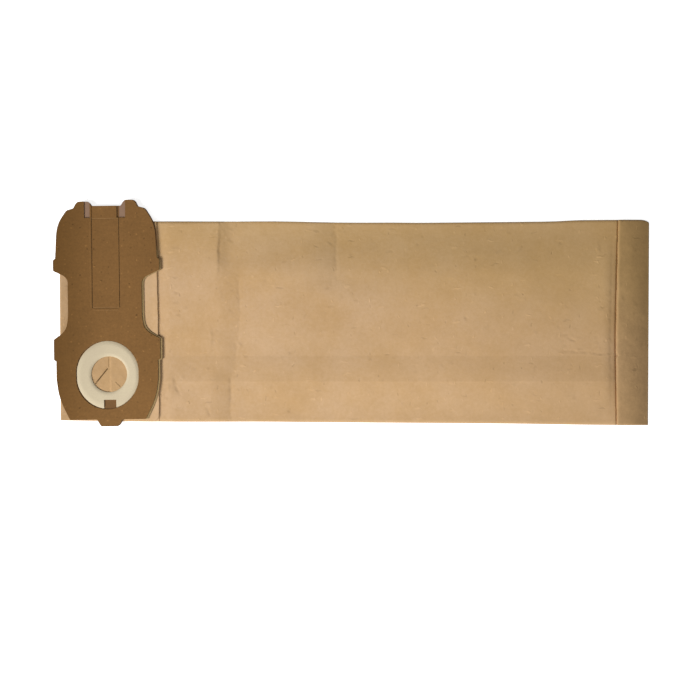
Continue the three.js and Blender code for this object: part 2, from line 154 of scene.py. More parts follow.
# Inlet paper and its star cut: both ends of each slit, how wide and deep it is, how high its lip
# stands and how dark it is painted, as painted shade inside the slit
PAPER_RADIUS, PAPER_RISE, PAPER_CROWN = 16.7, 0.9, 0.35
PAPER_FOOT = 3.6
STAR_CUT = (
    ((-1.1, 5.0), (-12.0, -8.2), 0.38, 0.8, 0.36, 0.72),
    ((5.2, -6.4), (9.9, -11.2), 0.26, 0.2, 0.12, 0.55),
    ((-0.25, 14.6), (-0.35, 5.2), 0.26, 0.12, 0.1, 0.3),
)

# Camera straight above: the width of table that it sees, in metres
SEEN_WIDTH, LENS, SENSOR = 0.588, 85, 36


# Shape helpers


def ease(x, low, high):
    """0 below low, 1 above high and a smooth step between."""
    t = np.clip((np.asarray(x, float) - low) / (high - low), 0, 1)
    return t * t * (3 - 2 * t)


def plateau(x, up, down):
    """0, a smooth step up to 1 over one stretch and a smooth step down again over another."""
    return ease(x, *up) * (1 - ease(x, *down))


def stops(*bands):
    """Numbers through several bands, each given as start, end and longest step."""
    runs = [np.linspace(a, b, max(2, math.ceil((b - a) / step) + 1)) for a, b, step in bands]
    return np.unique(np.round(np.concatenate(runs), 5))


def width_table():
    """The half width along the bag, as a smooth curve through the measured widths."""
    points = np.array(WIDTHS, float) * (1, 0.5)
    last = len(points) - 1
    table = []
    for share in np.linspace(0, last, 121):
        i = min(int(share), last - 1)
        t = share - i
        a, b, c, d = (points[min(max(k, 0), last)] for k in (i - 1, i, i + 1, i + 2))
        v, w = (c - a) / 2, (d - b) / 2
        table.append((2 * b - 2 * c + v + w) * t**3 + (-3 * b + 3 * c - 2 * v - w) * t**2 + v * t + b)
    return np.array(table).T


WIDTH_X, WIDTH_HALF = width_table()


def half_width(x):
    return np.interp(x, WIDTH_X, WIDTH_HALF)


def centre_line(x):
    return SIDE_DRIFT * (0.5 - ease(x, 0, BAG_LENGTH))


def shear(x):
    return -np.interp(x, LEAN_AT, np.tan(np.radians(LEAN_DEG)))


def sides(x):
    """The bag's near and far side at x, each bowed out by up to a millimetre, with the far corner cut in by
    wear.
    """
    share = np.clip((x - (BAG_LENGTH - CORNER_RUN)) / CORNER_RUN, 0, 1)
    worn = CORNER_DROP * (1 - np.sqrt(1 - share**2))
    near_bow = (0.75 * ease(x, -90, 60) + 0.35 * ease(x, 160, 215)) * (1 - ease(x, 245, 400))
    far_bow = 0.75 * np.exp(-(((x - 183) / 38) ** 2)) + 0.6 * ease(x, 415, 440)
    far_bow = far_bow - 0.33 * plateau(x, (275, 305), (402, 432))
    return centre_line(x) - half_width(x) - near_bow, centre_line(x) + half_width(x) + far_bow - worn


def along_facet(x, y, facet):
    """How far a place has come along a facet, 1 at its run's end, with its crooked start."""
    wide = facet.run * np.clip(1 + facet.flare * (y - (facet.low + facet.high) / 2) / 40, 0.5, 1.5)
    crooked = 0.05 * np.sin(y * 0.11 + facet.at) + 0.03 * np.sin(y * 0.29 + 2 * facet.at)
    return (x - facet.at) / wide + crooked


def dips(x, y):
    """How deep all facets press the top sheet in at a place."""
    total = 0
    for facet in FACETS:
        along = along_facet(x, y, facet)
        fallen = 1 - (1 - np.clip(along, 0, 1) ** (1 + facet.soft_start)) ** (1 + facet.soft_end)
        sprung = np.minimum(fallen, np.maximum(0, 1 - (along - 1) / SPRING_RUNS))
        uneven = 0.65 + 0.35 * np.sin(y * 0.19 + facet.at)
        fading = np.maximum(0, 1 - np.maximum(0, along) / SPRING_RUNS)
        broken = facet.step * uneven * ease(along * facet.run, -0.2, 1.1) * fading
        across = plateau(y, (facet.low, facet.low + 22), (facet.high - 22, facet.high))
        total = total + (facet.depth * sprung + broken) * across
    return total


def crushed(x, y):
    """How far a place lies within a pressed facet, from 0 to 1."""
    most = np.zeros(np.broadcast(x, y).shape)
    for facet in FACETS:
        along = along_facet(x, y, facet)
        inside = plateau(along, (-0.04 - 0.2 * facet.soft_start, 0.04 + 0.6 * facet.soft_start),
                         (0.94 - 0.5 * facet.soft_end, 1.06 + 0.1 * facet.soft_end))
        inside = inside * plateau(y, (facet.low, facet.low + 18), (facet.high - 18, facet.high))
        most = np.maximum(most, inside * min(1.0, facet.depth / 1.4))
    return most


def band_edge(y):
    """Where the closing band's free edge lies: it was folded a little askew and bowed."""
    off = np.abs(y - BAND_MIDDLE)
    return BAND_START + np.where(y > BAND_MIDDLE, 1.5 * (off / 84) ** 1.4, 0.9 * (off / 50) ** 1.2)


def band_height(x):
    return BAND - (BAND - END) * ((x - BAND_START) / BAND_LENGTH) ** 2


def body_height(x, y):
    """Height of the tube's top sheet, which runs on under the panel and the band."""
    from_side = half_width(x) - np.abs(y - centre_line(x))
    inward = ease(from_side, SIDE_FOLD, CROWN_RUN)
    rise = plateau(x, (BULGE_START, BULGE_START + 110), (BAND_START - 150, BAND_START))
    side = BODY + (SIDE - BODY) * ease(x, BULGE_START, BULGE_START + 40)
    held = HELD * ease(x, BAND_START - 190, BAND_START - 60) * inward

    edge = band_edge(y)
    run = np.clip((x - (edge - CREASE_RUN)) / CREASE_RUN, 0, 1)
    dive = run**2 * (side - GROOVE + (BODY - side + HELD) * inward) + 1.4 * ease(x - edge, -1.5, -0.2)

    seam_high = SEAM_LOW + SEAM_WIDTH
    lap = plateau(y, (SEAM_LOW - PLY_EDGE, SEAM_LOW), (seam_high, seam_high + PLY_EDGE))
    lap = lap * plateau(x, (PANEL_LENGTH, PANEL_LENGTH + PLY_EDGE), (BAND_START - 3, BAND_START))
    tuck = TUCK * (1 - ease(x, PANEL_LENGTH + 1.6, PANEL_LENGTH + 11))

    top = side + (BODY - side + (CROWN - BODY) * rise) * inward + held - dive
    top = top + SEAM_PLY * lap - dips(x, y) - tuck
    under_band = GROOVE - (GROOVE - UNDER_END) * ease(x, BAND_START, BAG_LENGTH)
    top = np.where(x > edge, under_band, np.maximum(top, LOWEST))
    return np.where(x <= PANEL_LENGTH, BODY - 0.03, top)


def points_at(x, y, z):
    """Points from three coordinates, each of them a number or an array."""
    return np.stack(np.broadcast_arrays(x, y, z), -1)


def to_frame(points):
    """Bag millimetres to metres in the shared frame, with the cross lines' lean."""
    x, y, z = np.moveaxis(points, -1, 0)
    return points_at(x + shear(x) * y + BAG_ORIGIN[0], y + BAG_ORIGIN[1], z) / 1000


def collar_to_frame(points):
    """Collar millimetres to metres in the shared frame."""
    c, s = math.cos(COLLAR_TURN), math.sin(COLLAR_TURN)
    x = points[..., 0] * c - points[..., 1] * s + WINDOW_AT[0] + BAG_ORIGIN[0]
    y = points[..., 0] * s + points[..., 1] * c + WINDOW_AT[1] + BAG_ORIGIN[1]
    return points_at(x, y, points[..., 2]) / 1000


def frame_to_collar(points):
    """Metres in the shared frame to collar millimetres."""
    c, s = math.cos(COLLAR_TURN), math.sin(COLLAR_TURN)
    x = points[..., 0] * 1000 - WINDOW_AT[0] - BAG_ORIGIN[0]
    y = points[..., 1] * 1000 - WINDOW_AT[1] - BAG_ORIGIN[1]
    return points_at(x * c + y * s, y * c - x * s, points[..., 2] * 1000)


def place_in_scene(name, mesh):
    made = bpy.data.objects.new(name, mesh)
    bpy.context.scene.collection.objects.link(made)
    return made


def store(mesh, **values):
    """Stores numbers on a mesh's points by name, one for each point or one for all."""
    for key, numbers in values.items():
        layer = mesh.attributes.new(key, "FLOAT", "POINT")
        spread = np.broadcast_to(np.ravel(numbers), len(mesh.vertices))
        layer.data.foreach_set("value", spread.astype(np.float32))


def mesh_object(name, points, faces, **values):
    """An object from points and faces, facing outward, with numbers stored on its points."""
    mesh = bpy.data.meshes.new(name)
    mesh.from_pydata(points.reshape(-1, 3).tolist(), [], faces)
    mesh.update()
    store(mesh, **values)
    shell = bmesh.new()
    shell.from_mesh(mesh)
    bmesh.ops.recalc_face_normals(shell, faces=shell.faces)
    if shell.calc_volume(signed=True) < 0:
        bmesh.ops.reverse_faces(shell, faces=shell.faces)
    shell.to_mesh(mesh)
    shell.free()
    return place_in_scene(name, mesh)


def loop_faces(rings, count):
    """Faces that join closed rings of points one after another, and the last to the first."""
    return [
        (r * count + i, r * count + (i + 1) % count,
         (r + 1) % rings * count + (i + 1) % count, (r + 1) % rings * count + i)
        for r in range(rings) for i in range(count)
    ]


def tube_faces(rings, count):
    """The same with a lid on each end, where the last isn't joined to the first."""
    lids = [tuple(range(count)), tuple(range((rings - 1) * count, rings * count))]
    return loop_faces(rings, count)[:-count] + lids


def settle(made):
    """Applies an object's modifiers: the evaluated shape becomes its plain mesh."""
    bpy.context.view_layer.update()
    seen = made.evaluated_get(bpy.context.evaluated_depsgraph_get())
    plain = bpy.data.meshes.new_from_object(seen)
    made.modifiers.clear()
    old, made.data = made.data, plain
    plain.name = made.name
    bpy.data.meshes.remove(old)


def soften(made, angle):
    """Smooth shading, apart from edges sharper than the angle."""
    mesh = made.data
    mesh.polygons.foreach_set("use_smooth", np.ones(len(mesh.polygons), bool))
    mesh.set_sharp_from_angle(angle=math.radians(angle))


# Node helpers


class Wire:
    """A socket that can be used in a sum: each operator adds the Math node that it stands for."""

    def __init__(self, sheet, socket):
        self.sheet, self.socket = sheet, socket

    def __add__(self, other):
        return self.sheet.math("ADD", self, other)

    def __sub__(self, other):
        return self.sheet.math("SUBTRACT", self, other)

    def __rsub__(self, other):
        return self.sheet.math("SUBTRACT", other, self)

    def __mul__(self, other):
        return self.sheet.math("MULTIPLY", self, other)

    def __truediv__(self, other):
        return self.sheet.math("DIVIDE", self, other)

    def __rtruediv__(self, other):
        return self.sheet.math("DIVIDE", other, self)

    def __abs__(self):
        return self.sheet.math("ABSOLUTE", self)

    __radd__, __rmul__ = __add__, __mul__


class Sheet:
    """A node tree, put together by calls."""

    def __init__(self, tree):
        self.tree = tree

    def node(self, kind, settings=None, values=None):
        """Any node: its settings come first, and then the values or wires of its sockets."""
        made = self.tree.nodes.new(kind)
        for key, setting in (settings or {}).items():
            setattr(made, key, setting)
        for key, value in (values or {}).items():
            self.feed(self.socket(made.inputs, key), value)
        return made

    def socket(self, sockets, key):
        if isinstance(key, int):
            return sockets[key]
        return next(s for s in sockets if s.enabled and key in (s.name, s.identifier))

    def feed(self, socket, value):
        if isinstance(value, Wire):
            self.tree.links.new(value.socket, socket)
        else:
            socket.default_value = value

    def wire(self, node, key=0):
        return Wire(self, self.socket(node.outputs, key))

    def math(self, operation, *values):
        return self.wire(self.node("ShaderNodeMath", {"operation": operation}, dict(enumerate(values))))

    def vector(self, operation, *values):
        return self.wire(self.node("ShaderNodeVectorMath", {"operation": operation}, dict(enumerate(values))))

    def noise(self, place, scale, detail=2.0, rough=0.5, seed=0.0):
        """Soft noise about 0, from -1 to 1 at most, at so many waves a millimetre."""
        made = self.node("ShaderNodeTexNoise", {"noise_dimensions": "4D"}, {
            "Vector": place, "W": seed, "Scale": scale, "Detail": detail, "Roughness": rough})
        return (self.wire(made) - 0.5) * 2

    def marks(self, place, cell, reach):
        """Small marks, one in each cell, from -1 to 1 by how dark or light each is."""
        made = self.node("ShaderNodeTexVoronoi", {"voronoi_dimensions": "2D"},
                         {"Vector": place, "Scale": 1 / cell})
        split = self.node("ShaderNodeSeparateColor", {}, {0: self.wire(made, "Color")})
        shade = (self.wire(split, "Red") - 0.5) * 2
        return (1 - self.step(self.wire(made, "Distance"), reach * 0.3, reach)) * shade * abs(shade)

    def step(self, value, low, high):
        """0 to 1 as the value goes from low to high, smoothly."""
        made = self.node("ShaderNodeMapRange", {"interpolation_type": "SMOOTHSTEP"},
                         {"Value": value, "From Min": low, "From Max": high})
        return self.wire(made)

    def plateau(self, value, up, down):
        """0, smoothly up to 1 over one stretch and down again over another."""
        return self.step(value, *up) * (1 - self.step(value, *down))


def empty_sheet(owner):
    """The node sheet of a material or a world, with nothing on it yet."""
    owner.use_nodes = True
    owner.node_tree.nodes.clear()
    return Sheet(owner.node_tree)


# Relief of the paper: sharp creases and a soft cockle

RELIEF_INPUTS = (
    ("Paper", "Geometry"), ("Creases", "Object"), ("Cockle Height", "Float"), ("Cockle Length", "Float"),
    ("Crackle Height", "Float"), ("Crackle Length", "Float"), ("Seed", "Float"), ("Finish", "Material"),
)


def relief_tree():
    """Moves paper up and down: by its creases, a long soft cockle and a short crackle."""
    tree = bpy.data.node_groups.new("paper_relief", "GeometryNodeTree")
    for name, kind in RELIEF_INPUTS:
        tree.interface.new_socket(name=name, in_out="INPUT", socket_type=f"NodeSocket{kind}")
    tree.interface.new_socket(name="Paper", in_out="OUTPUT", socket_type="NodeSocketGeometry")

    sheet = Sheet(tree)
    given = sheet.node("NodeGroupInput")
    size = {name: sheet.wire(given, name) for name, _ in RELIEF_INPUTS}
    place = sheet.wire(sheet.node("GeometryNodeInputPosition"))
    in_mm = sheet.vector("MULTIPLY", place, (1000, 1000, 1000))

    def stored(name):
        number = sheet.node("GeometryNodeInputNamedAttribute", {"data_type": "FLOAT"}, {"Name": name})
        return sheet.wire(number)

    paths = sheet.wire(sheet.node("GeometryNodeObjectInfo", {}, {"Object": size["Creases"]}), "Geometry")
    near = sheet.node("GeometryNodeProximity", {"target_element": "EDGES"}, {0: paths})
    nearest = sheet.wire(sheet.node("GeometryNodeSampleNearest", {"domain": "POINT"}, {0: paths}))

    def at_nearest_crease(name):
        return sheet.wire(sheet.node(
            "GeometryNodeSampleIndex", {"data_type": "FLOAT", "domain": "POINT"},
            {"Geometry": paths, "Value": stored(name), "Index": nearest}))

    share = sheet.wire(near, "Distance") * 1000 / at_nearest_crease("wide")
    fold = at_nearest_crease("deep") * sheet.math("EXPONENT", 0 - share * share)

    def waves(kind, detail, seed):
        stretched = sheet.vector("MULTIPLY", in_mm, (1.0, 1.5, 1.0))
        noise = sheet.noise(stretched, 1 / size[f"{kind} Length"], detail, 0.45, size["Seed"] + seed)
        return noise * size[f"{kind} Height"]

    cockle, crackle = waves("Cockle", 1.5, 0.0), waves("Crackle", 2.5, 7.3)
    top = (cockle + crackle - fold) * stored("free")
    under = abs(cockle) * stored("under")
    lift = sheet.wire(sheet.node("ShaderNodeCombineXYZ", {}, {"Z": (top + under) * 0.001}))

    # each crease's depth is kept on the paper, and its finish turns it into painted shade along the creases
    worn = sheet.wire(sheet.node("GeometryNodeStoreNamedAttribute", {"data_type": "FLOAT", "domain": "POINT"}, {
        "Geometry": size["Paper"], "Name": "worn", "Value": abs(fold) * stored("free")}))
    moved = sheet.wire(sheet.node("GeometryNodeSetPosition", {}, {"Geometry": worn, "Offset": lift}))
    smooth = sheet.wire(sheet.node("GeometryNodeSetShadeSmooth", {}, {"Geometry": moved, "Shade Smooth": True}))
    whole = sheet.wire(sheet.node("GeometryNodeRealizeInstances", {}, {"Geometry": smooth}))
    done = sheet.wire(sheet.node("GeometryNodeSetMaterial", {}, {"Geometry": whole, "Material": size["Finish"]}))
    sheet.node("NodeGroupOutput", {}, {0: done})
    return tree


def small_wrinkles():
    """Short wrinkles scattered over the sheet, most of them along it, from a fixed seed."""
    chance = np.random.default_rng(23)
    found = []
    for count, low, high, spread in WRINKLES:
        for _ in range(count):
            x, y = chance.uniform(low, high)
            turn = math.radians(chance.normal(0, spread))
            half = chance.uniform(1.0, 3.6)
            run, rise = half * math.cos(turn), half * math.sin(turn)
            depth = chance.choice((-1, 1)) * chance.uniform(0.1, 0.28)
            found.append((((x - run, y - rise), (x + run, y + rise)), depth, chance.uniform(0.8, 1.1)))
    return found


def crease_paths():
    """The sharp creases as edges, with depth and width on each point, fading at both ends."""
    points, edges, deep, wide = [], [], [], []
    for path, depth, width in (*CREASES, *small_wrinkles()):
        path = np.array(path, float)
        run = np.concatenate(([0], np.cumsum(np.linalg.norm(np.diff(path, axis=0), axis=1))))
        at = np.linspace(0, run[-1], max(5, int(run[-1] / 0.8)))
        x, y = np.interp(at, run, path[:, 0]), np.interp(at, run, path[:, 1])
        x = x + 0.28 * np.sin(at * 0.55 + depth * 40) + 0.16 * np.sin(at * 1.7 + width * 9)
        fade = np.sin(np.clip(at / run[-1], 0, 1) * math.pi) ** 0.6
        fade = fade * (0.72 + 0.28 * np.sin(at * 0.8 + width * 30))
        height = np.where(x > BAND_START, band_height(x), body_height(x, y))
        first = len(points)
        points += to_frame(points_at(x, y, height)).tolist()
        edges += [(first + i, first + i + 1) for i in range(len(at) - 1)]
        deep += (depth * fade).tolist()
        wide += [width] * len(at)
    mesh = bpy.data.meshes.new("crease_paths")
    mesh.from_pydata(points, edges, [])
    store(mesh, deep=deep, wide=wide)
    return place_in_scene("crease_paths", mesh)


def shape_by_tree(made, tree, **inputs):
    """Runs a Geometry Nodes tree on an object and keeps the result as its plain mesh."""
    modifier = made.modifiers.new("relief", "NODES")
    modifier.node_group = tree
    names = {item.name: item.identifier for item in tree.interface.items_tree
             if item.item_type == "SOCKET" and item.in_out == "INPUT"}
    for key, value in inputs.items():
        modifier[names[key.replace("_", " ").title()]] = value
    settle(made)


# Paper pieces


def paper_tube():
    """The flattened tube, from inside the fold to inside the band."""
    along = stops((1.2, 82, 4), (82, 84.5, 0.35), (84.5, BAND_START - 3, 0.97),
                  (BAND_START - 3, BAND_START + 2.4, 0.45), (BAND_START + 2.4, 493.6, 3))
    turn = np.radians(np.linspace(-80, 80, FOLD_POINTS))
    seam_high = SEAM_LOW + SEAM_WIDTH
    rings, free, under, tone = [], [], [], []
    for x in along:
        near, far = sides(x)
        low, high = near + SIDE_FOLD, far - SIDE_FOLD
        across = np.concatenate((
            np.linspace(low, SEAM_LOW - PLY_EDGE, 31), np.linspace(SEAM_LOW, seam_high, 22),
            np.linspace(seam_high + PLY_EDGE, high, 117)))
        top = body_height(x, across)
        lifted = 0.72 * (1 - ease(x, 6, 14)) + 0.36 * ease(x, 481, 487)
        folds = []
        for side, y, height in ((1, high, top[-1]), (-1, low, top[0])):
            middle, radius = (height + lifted) / 2, (height - lifted) / 2
            arc = points_at(x, y + side * SIDE_FOLD * np.cos(turn), middle + radius * np.sin(turn))
            folds.append(arc[::side])
        floor = points_at(x, np.linspace(low, high, FLOOR_POINTS), lifted)
        ring = np.concatenate((floor, folds[0], points_at(x, across, top)[::-1], folds[1]))
        rings.append(ring)

        on_floor, on_top = np.zeros(len(ring)), np.zeros(len(ring))
        on_floor[:FLOOR_POINTS] = 1
        on_top[FLOOR_POINTS + FOLD_POINTS:FLOOR_POINTS + FOLD_POINTS + len(across)] = 1
        from_side = np.minimum(ring[:, 1] - near, far - ring[:, 1])
        loose = plateau(x, (PANEL_LENGTH + 1, PANEL_LENGTH + 6), (BAND_START - 5, BAND_START - 1))
        free.append(on_top * ease(from_side, 2.2, 9) * loose)
        under.append(on_floor * ease(from_side, 3, 14) * plateau(x, (16, 40), (455, 478)))
        lap = on_top * plateau(ring[:, 1], (SEAM_LOW - 0.6, SEAM_LOW + 0.6), (seam_high - 1, seam_high + 1))
        # painted shade: 6% darker in the pressed facets; the seam lap is 5% darker as its own extra ply
        tone.append((1 - 0.05 * lap) * (1 - 0.06 * on_top * crushed(x, ring[:, 1])))
    points = np.array(rings)
    return mesh_object("paper_tube", to_frame(points), tube_faces(len(along), points.shape[1]),
                       free=np.array(free), under=np.array(under), tone=np.array(tone))


def folded_flap(name, points, free, tone):
    """A flap of paper from its closed sections, one for each place across."""
    return mesh_object(name, to_frame(points), tube_faces(len(points), points.shape[1]),
                       free=free, under=0.0, tone=tone)


def across_flap(x_mid):
    """Places across a flap as shares of its width, closer together at both folds."""
    near, far = sides(x_mid)
    width = far - near
    edge = np.array(FLAP_EDGE) / width
    inner = np.linspace(3.2 / width, 1 - 3.2 / width, FLAP_POINTS)
    return np.concatenate((edge, inner, 1 - edge[::-1]))


def thinned(share, width, edge):
    """How thick a flap is at a share of its width: rounded off to both sides."""
    from_side = min(share, 1 - share) * width
    return math.sqrt(max(0.04, 1 - (1 - min(from_side / edge, 1)) ** 2))


def end_panel():
    """The tube's folded end: round the fold and back over the top, where the collar is glued."""
    top_x = stops((FOLD_REACH, 78, 1.6), (78, PANEL_LENGTH - 0.3, 0.8))[::-1]
    turn = np.radians(np.linspace(90, -90, 13))[1:-1]
    leg_x = np.linspace(FOLD_REACH, PANEL_LEG, 7)
    inner_reach, inner_half = FOLD_INNER
    sections = []
    for share in across_flap(40):
        here = NEAR_SIDE + share * PANEL_WIDTH
        clipped = 4.2 * max(0.0, 1 - (here - NEAR_SIDE) / 3.6)
        wavy = 0.16 * math.sin(here * 0.11 + 1) + 0.1 * math.sin(here * 0.43)
        free_x = PANEL_LENGTH + wavy - clipped
        xs = np.where(top_x > free_x - 1.5, free_x - 0.12 * (top_x[0] - top_x), top_x)

        outside = [(x, PRESSED) for x in xs]
        outside += [(FOLD_REACH * (1 - math.cos(a)), FOLD_HALF * (1 + math.sin(a))) for a in turn]
        outside += [(x, 0.0) for x in leg_x]
        inside = [(x, 0.06 + 0.6 * (1 - ease(x, 4, PANEL_LEG))) for x in leg_x[::-1]]
        inside += [(FOLD_REACH - inner_reach * math.cos(a), FOLD_HALF + inner_half * math.sin(a))
                   for a in turn[::-1]]
        inside += [(x, BODY) for x in xs[::-1]]
        edge = [(free_x + 0.05, BODY + 0.12), (free_x + 0.08, BODY + 0.35), (free_x + 0.03, PRESSED - 0.12)]
        x, z = np.array(outside + inside + edge).T

        on_top, near_fold = z > 2.5, 1 - ease(x, 1, 9)
        layer = np.where(z > 2, BODY + PLY / 2, 0.3)
        middle = layer * (1 - near_fold) + FOLD_HALF * near_fold
        height = middle + (z - middle) * thinned(share, PANEL_WIDTH, 0.35)
        droop = 0.75 * max(0.0, 1 - min(share, 1 - share) * PANEL_WIDTH / 2.6) ** 2
        height = height - on_top * droop * (1 - near_fold)
        lift = ease(x, PANEL_LENGTH - 5, PANEL_LENGTH) * np.where(z < BODY + 0.1, 0.5, 0.32)
        near, far = sides(x)
        sections.append(points_at(x, near + share * (far - near), height + on_top * lift))
    points = np.array(sections)
    local_x = points[..., 0] - WINDOW_AT[0]
    bare = np.maximum(ease(local_x, 31, 34), ease(-local_x, 33, 36))
    corner = 1 - ease(points[..., 1], -78, -66)
    free = 0.35 * np.maximum(bare, corner) * (1 - ease(points[..., 0], 80, 83))
    return folded_flap("end_panel", points, np.where(points[..., 2] > 2.8, free, 0), 1.0)


def closing_band():
    """The far end, folded over and glued: thick at its free edge, thin where it turns under."""
    top_x = stops((BAND_START + 1.9, BAND_END - 1, 0.85))
    tip = float(band_height(BAND_END - 1))
    turn = np.radians(np.linspace(75, -75, 7))
    leg_x = np.linspace(BAND_END - 1, BAND_END - BAND_LEG, 7)
    inner_x = np.linspace(BAND_END - 1.1, BAND_START + 4.5, 14)
    sections, tones = [], []
    for share in across_flap(480):
        here = -85 + share * 171
        nick = 1.3 * math.exp(-((here + 26.9) / 1.1) ** 2)
        wavy = 0.2 * math.sin(here * 0.045 + 0.6) + 0.14 * math.sin(here * 0.27) + nick
        start = float(band_edge(here)) + wavy
        xs = start + 1.9 + (top_x - top_x[0]) * (BAND_END - 1 - start - 1.9) / (top_x[-1] - top_x[0])

        section = [(start + dx, z) for dx, z in BAND_LIP] + [(x, float(band_height(x))) for x in xs]
        section += [(BAND_END - 1 + math.cos(a), tip / 2 * (1 + math.sin(a))) for a in turn]
        section += [(x, 0.0) for x in leg_x]
        section += [(x, 0.05 + 0.28 * float(ease(x, BAND_END - BAND_LEG, BAND_END - 6))) for x in leg_x[::-1]]
        section += [(x, float(body_height(x, BAND_MIDDLE)) + 0.04) for x in inner_x]
        x, z = np.array(section).T

        leg = z < 0.4
        middle = np.where(leg, 0.2, body_height(np.maximum(x, BAND_START + 0.01), BAND_MIDDLE) + 0.15)
        height = middle + (z - middle) * np.where(z > middle, thinned(share, BAND_WIDTH, 1.1), 1)
        near, far = sides(np.minimum(x, BAG_LENGTH))
        sections.append(points_at(x, near + share * (far - near), height))

        # painted shade on the lip's lower wall, and a painted highlight that makes its top a little lighter than
        # the band
        lip_shade_and_highlight = np.where(z < 3.7, 0.66, 0.85)
        # the band is painted darker, partly as its own darker paper, partly as painted shade that grows towards
        # the bag's end; painted light brightens its near side
        band_tone_and_shading = (0.80 - 0.16 * ease(x, start + 2, BAG_LENGTH)) * (1.05 - 0.05 * ease(here, -80, -20))
        tones.append(np.where(x < start + 1.5, lip_shade_and_highlight, np.where(leg, 0.95, band_tone_and_shading)))
    points = np.array(sections)
    free = 0.8 * plateau(points[..., 0], (BAND_START + 1.5, BAND_START + 4), (BAND_END - 4, BAND_END - 1))
    return folded_flap("closing_band", points, np.where(points[..., 2] > 1.2, free, 0), np.array(tones))


def inlet_paper():
    """The panel's paper in the inlet: a shallow crown with its star cut, one half lifted."""
    radii = np.concatenate((np.linspace(0.02, 1, 84) * (PAPER_RADIUS - 0.15), [PAPER_RADIUS]))
    angles = np.linspace(0, 2 * math.pi, 360, endpoint=False)
    r, a = np.meshgrid(radii, angles, indexing="ij")
    x, y = r * np.cos(a), r * np.sin(a)
    z = PRESSED + PAPER_RISE + PAPER_CROWN * (1 - (r / PAPER_RADIUS) ** 2)
    right_half = ease(x + 0.05 * np.sin(y * 0.8), 0.1, 2.1)
    z = z + 0.55 * (right_half - 0.6) * (1 - 0.5 * np.exp(-((y - 1) / 3.5) ** 2))
    dark = np.ones_like(z)
    for start, end, wide, deep, lip, shade in STAR_CUT:
        start, end = np.array(start), np.array(end)
        length = np.linalg.norm(end - start)
        ux, uy = (end - start) / length
        along = (x - start[0]) * ux + (y - start[1]) * uy
        aside = -(x - start[0]) * uy + (y - start[1]) * ux
        inside = plateau(along, (-0.3, 0.6), (length - 1.5, length + 0.2))
        gap = np.exp(-((aside / wide) ** 2)) * inside
        raised = lip * np.exp(-np.maximum(0, -aside - wide) / 1.3) * inside * (aside < 0)
        z = z + raised * (1 - gap) - deep * gap
        # painted shade: darker where a slit opens
        dark = dark * (1 - shade * gap)
    z = z + 0.05 * np.sin(x * 0.9 + 1.3) * np.sin(y * 0.55)

    rings, count = x.shape
    top = collar_to_frame(points_at(x + OPENING_SHIFT, y, z)).reshape(-1, 3)
    rim = collar_to_frame(points_at(x[-1] + OPENING_SHIFT, y[-1], PAPER_FOOT))
    centre = collar_to_frame(np.array((OPENING_SHIFT, 0.0, PAPER_FOOT)))
    points = np.concatenate((top, rim, [top[:count].mean(0), centre]))
    last = rings * count
    crown, foot = last + count, last + count + 1
    faces = loop_faces(rings + 1, count)[:-count]
    faces += [(crown, i, (i + 1) % count) for i in range(count)]
    faces += [(foot, last + (i + 1) % count, last + i) for i in range(count)]
    tone = np.concatenate((dark.ravel(), np.ones(count + 2))) * 0.88
    return mesh_object("inlet_paper", points, faces, tone=tone)


# Collar boards and ring


def bead(start, end, half, height):
    """The low bead that a rule or blade raised along a line, let into the card's face."""
    start, end = np.array(start), np.array(end)
    length = np.linalg.norm(end - start)
    ahead = (end - start) / length
    aside = np.array((-ahead[1], ahead[0]))
    turn = np.linspace(0, math.pi, 9)
    rings = []
    for at, raised in ((0, 0.02), (1.2, height), (length - 1.2, height), (length, 0.02)):
        path = [(half * math.cos(a), raised * math.sin(a) - 0.02) for a in turn]
        path += [(-half, -0.3), (half, -0.3)]
        rings.append([(*(start + ahead * at + aside * across), CARD_TOP + up) for across, up in path])
    return mesh_object("bead", collar_to_frame(np.array(rings)), tube_faces(len(rings), len(rings[0])))


def collar_block(name, low, high):
    """A block from its low to its high corner in collar millimetres, to cut with."""
    corners = np.array(list(product(*zip(low, high))))
    cube = [(0, 1, 3, 2), (4, 6, 7, 5), (0, 4, 5, 1), (2, 3, 7, 6), (0, 2, 6, 4), (1, 5, 7, 3)]
    return mesh_object(name, collar_to_frame(corners), cube)


def cut_away(made, block):
    cut = made.modifiers.new("cut", "BOOLEAN")
    cut.operation, cut.solver, cut.object = "DIFFERENCE", "EXACT", block
    settle(made)
    bpy.data.objects.remove(block)


def join(made, *others):
    """Takes other objects into a piece."""
    shell = bmesh.new()
    for part in (made, *others):
        shell.from_mesh(part.data)
    shell.to_mesh(made.data)
    shell.free()
    for part in others:
        bpy.data.objects.remove(part)


def move_kerfs(place):
    """Both kerfs lie a little further to the right than in the solid; the grip's sides stay."""
    x, y = place[:, 0], place[:, 1]
    beside_tongue = (y > 55) & (y < GRIP_FOOT) & ((y < 131.3) | (y > 131.8) | (x > 0))
    left, right = (x > -13.05) & (x < -12.2), (x > 10) & (x < 10.9)
    place[:, 0] += beside_tongue * (0.95 * left + 0.7 * right)


def show_rim(place):
    """The back board stands out from under the front board along the collar's lower right."""
    x, y = place[:, 0].copy(), place[:, 1].copy()
    place[:, 0] += 0.75 * ease(x, 18, 26) * (1 - ease(y, 70, 100))
    place[:, 1] += 0.4 * np.exp(-(((y - 36) / 12) ** 2)) * ease(x, 26, 34)


